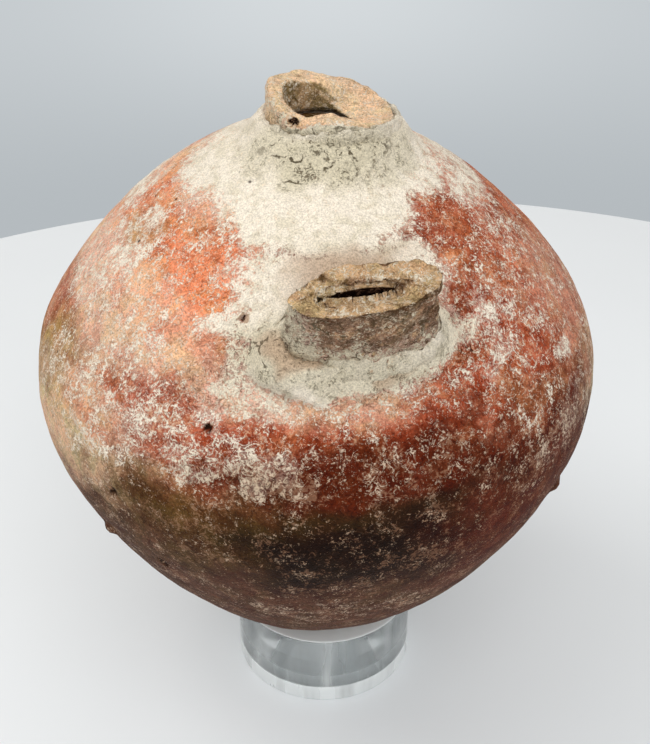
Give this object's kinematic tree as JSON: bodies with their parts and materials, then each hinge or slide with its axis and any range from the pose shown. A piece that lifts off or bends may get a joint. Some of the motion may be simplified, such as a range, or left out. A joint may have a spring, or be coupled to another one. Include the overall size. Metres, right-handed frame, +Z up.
{
  "type": "infant feeder",
  "caption": "Round-bottomed clay feeding vessel with a short worn neck and the stub of a flattened spout, resting on a clear ring stand.",
  "frame": {"origin": "on the floor, under the middle of the vessel's belly", "axes": "+Z up along the vessel's axis; -Y is the front, where the spout looks; +X is the viewer's right"},
  "size_m": [0.108, 0.108, 0.1331],
  "materials": {
    "clear_acrylic": "polished, clear, edges lightly broken",
    "slipped_clay": "red slip, lightly burnished, worn, with pale lime crust and dark fire marks",
    "bare_clay": "unslipped buff clay, gritty, with worn and broken edges",
    "luting_clay": "pale pitted clay, pressed on by hand"
  },
  "bodies": {
    "stand": {"ring_stand": "clear_acrylic"},
    "vessel": {"lower_bowl": "slipped_clay", "upper_dome": "slipped_clay", "neck": "bare_clay", "neck_coil": "luting_clay", "spout": "bare_clay", "spout_coil": "luting_clay"}
  },
  "joints": [
    {"name": "lift_off", "type": "slide", "parent": "stand", "child": "vessel", "axis": [0, 0, 1], "range_m": [0, 0.08]}
  ]
}
